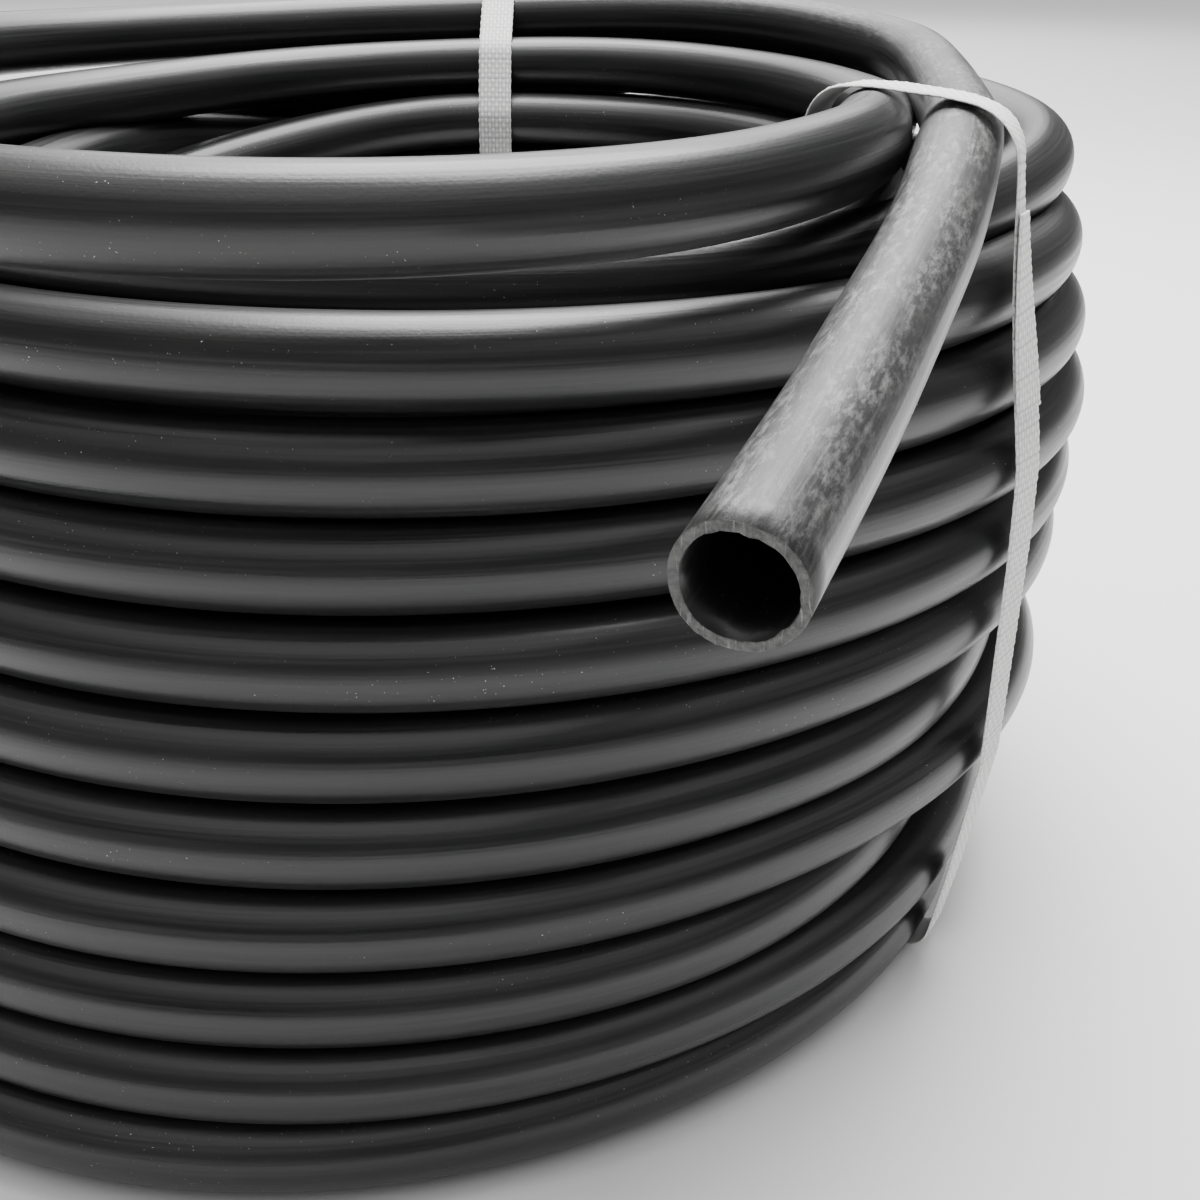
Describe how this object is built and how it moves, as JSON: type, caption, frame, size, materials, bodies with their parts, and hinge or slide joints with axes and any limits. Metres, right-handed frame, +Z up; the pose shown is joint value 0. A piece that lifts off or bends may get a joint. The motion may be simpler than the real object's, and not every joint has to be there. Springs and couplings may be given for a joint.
{
  "type": "coiled irrigation hose",
  "caption": "Coil of smooth black irrigation hose in nested layers, tied with woven straps, with its open cut end running forward.",
  "frame": {"origin": "middle of the underside of the whole part's box, on the surface that the coil stands on", "axes": "+Z up along the coil's eye; the free end of the hose runs towards -Y; +X is to the right seen from that front"},
  "size_m": [0.3268, 0.3832, 0.198],
  "materials": {
    "hose": "satin black polyethylene, extruded, with fine lengthwise drag marks and scuffs",
    "strap": "white flat woven strapping, dull"
  },
  "bodies": {
    "root": {"hose_outer_right": "hose", "hose_outer_back": "hose", "hose_outer_left": "hose", "hose_outer_front": "hose", "hose_middle_winding": "hose", "hose_inner_right": "hose", "hose_inner_back": "hose", "hose_inner_left": "hose", "hose_inner_front": "hose", "hose_top_stretch_1": "hose", "hose_top_stretch_2": "hose", "hose_top_stretch_3": "hose", "hose_top_stretch_4": "hose", "hose_top_stretch_5": "hose", "hose_free_end": "hose", "hose_inner_end": "hose", "strap_right": "strap", "strap_back": "strap", "strap_left": "strap"}
  },
  "joints": []
}
